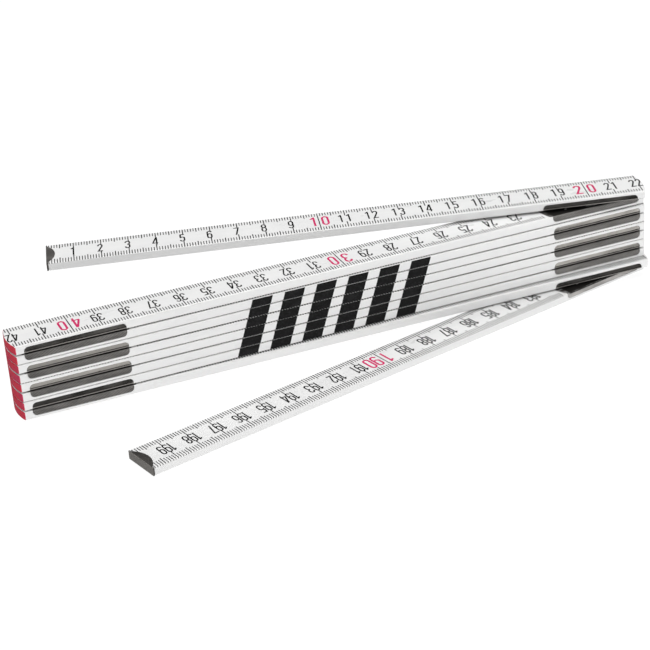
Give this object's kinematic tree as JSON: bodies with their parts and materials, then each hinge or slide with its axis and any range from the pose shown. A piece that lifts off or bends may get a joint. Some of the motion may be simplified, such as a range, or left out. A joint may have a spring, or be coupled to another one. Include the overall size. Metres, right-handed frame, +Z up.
{
  "type": "folding rule",
  "caption": "Wooden folding rule of flat white slats on concealed steel hinges, nearly folded, with the top and bottom slats swung out; measures lengths.",
  "frame": {"origin": "on the axis of the hinge between slats 9 and 10, at the underside of slat 10, which is the lowest slat", "axes": "+X to the hinged end that the two swung-out slats turn about, along the closed stack; +Z up through the stack, from slat 10 to slat 1; +Y to the side slat 1 is swung to"},
  "size_m": [0.245, 0.1173, 0.0352],
  "materials": {
    "slat_lacquer": "white lacquer, satin, red at the round ends",
    "hinge_steel": "dark blued steel, satin",
    "end_cap_steel": "dark blued steel, satin",
    "rivet_steel": "plain",
    "spring_steel": "plain"
  },
  "bodies": {
    "slat_01_body": {"slat_01": "slat_lacquer", "end_cap_start": "end_cap_steel", "hinge_1_2_upper_plate": "hinge_steel"},
    "slat_02_body": {"slat_02": "slat_lacquer", "hinge_2_3_upper_plate": "hinge_steel", "hinge_1_2_lower_plate": "hinge_steel", "hinge_1_2_rivet": "rivet_steel", "hinge_1_2_spring_washer": "spring_steel"},
    "slat_03_body": {"slat_03": "slat_lacquer", "hinge_3_4_upper_plate": "hinge_steel", "hinge_2_3_lower_plate": "hinge_steel", "hinge_2_3_rivet": "rivet_steel", "hinge_2_3_spring_washer": "spring_steel"},
    "slat_04_body": {"slat_04": "slat_lacquer", "hinge_4_5_upper_plate": "hinge_steel", "hinge_3_4_lower_plate": "hinge_steel", "hinge_3_4_rivet": "rivet_steel", "hinge_3_4_spring_washer": "spring_steel"},
    "slat_05_body": {"slat_05": "slat_lacquer", "hinge_5_6_upper_plate": "hinge_steel", "hinge_4_5_lower_plate": "hinge_steel", "hinge_4_5_rivet": "rivet_steel", "hinge_4_5_spring_washer": "spring_steel"},
    "slat_06_body": {"slat_06": "slat_lacquer", "hinge_6_7_upper_plate": "hinge_steel", "hinge_5_6_lower_plate": "hinge_steel", "hinge_5_6_rivet": "rivet_steel", "hinge_5_6_spring_washer": "spring_steel"},
    "slat_07_body": {"slat_07": "slat_lacquer", "hinge_7_8_upper_plate": "hinge_steel", "hinge_6_7_lower_plate": "hinge_steel", "hinge_6_7_rivet": "rivet_steel", "hinge_6_7_spring_washer": "spring_steel"},
    "slat_08_body": {"slat_08": "slat_lacquer", "hinge_8_9_upper_plate": "hinge_steel", "hinge_7_8_lower_plate": "hinge_steel", "hinge_7_8_rivet": "rivet_steel", "hinge_7_8_spring_washer": "spring_steel"},
    "slat_09_body": {"slat_09": "slat_lacquer", "hinge_9_10_upper_plate": "hinge_steel", "hinge_8_9_lower_plate": "hinge_steel", "hinge_8_9_rivet": "rivet_steel", "hinge_8_9_spring_washer": "spring_steel"},
    "slat_10_body": {"slat_10": "slat_lacquer", "end_cap_finish": "end_cap_steel", "hinge_9_10_lower_plate": "hinge_steel", "hinge_9_10_rivet": "rivet_steel", "hinge_9_10_spring_washer": "spring_steel"}
  },
  "joints": [
    {"name": "hinge_9_10", "type": "hinge", "parent": "slat_10_body", "child": "slat_09_body", "pos_m": [0, 0, 0.0034], "axis": [0, 0, -1], "range_deg": [-14.7, 165.3]},
    {"name": "hinge_8_9", "type": "hinge", "parent": "slat_09_body", "child": "slat_08_body", "pos_m": [-0.19998, 0.00279, 0.00695], "axis": [0, 0, 1], "range_deg": [-0.8, 179.2]},
    {"name": "hinge_7_8", "type": "hinge", "parent": "slat_08_body", "child": "slat_07_body", "pos_m": [0.00002, 0.00279, 0.0105], "axis": [0, 0, -1], "range_deg": [0, 180]},
    {"name": "hinge_6_7", "type": "hinge", "parent": "slat_07_body", "child": "slat_06_body", "pos_m": [-0.19998, 0.00279, 0.01405], "axis": [0, 0, 1], "range_deg": [0, 180]},
    {"name": "hinge_5_6", "type": "hinge", "parent": "slat_06_body", "child": "slat_05_body", "pos_m": [0.00002, 0.00279, 0.0176], "axis": [0, 0, -1], "range_deg": [0, 180]},
    {"name": "hinge_4_5", "type": "hinge", "parent": "slat_05_body", "child": "slat_04_body", "pos_m": [-0.19998, 0.00279, 0.02115], "axis": [0, 0, 1], "range_deg": [0, 180]},
    {"name": "hinge_3_4", "type": "hinge", "parent": "slat_04_body", "child": "slat_03_body", "pos_m": [0.00002, 0.00279, 0.0247], "axis": [0, 0, -1], "range_deg": [0, 180]},
    {"name": "hinge_2_3", "type": "hinge", "parent": "slat_03_body", "child": "slat_02_body", "pos_m": [-0.19998, 0.00279, 0.02825], "axis": [0, 0, 1], "range_deg": [-0.2, 179.8]},
    {"name": "hinge_1_2", "type": "hinge", "parent": "slat_02_body", "child": "slat_01_body", "pos_m": [0.00002, 0.00349, 0.0318], "axis": [0, 0, -1], "range_deg": [-15, 165]}
  ]
}
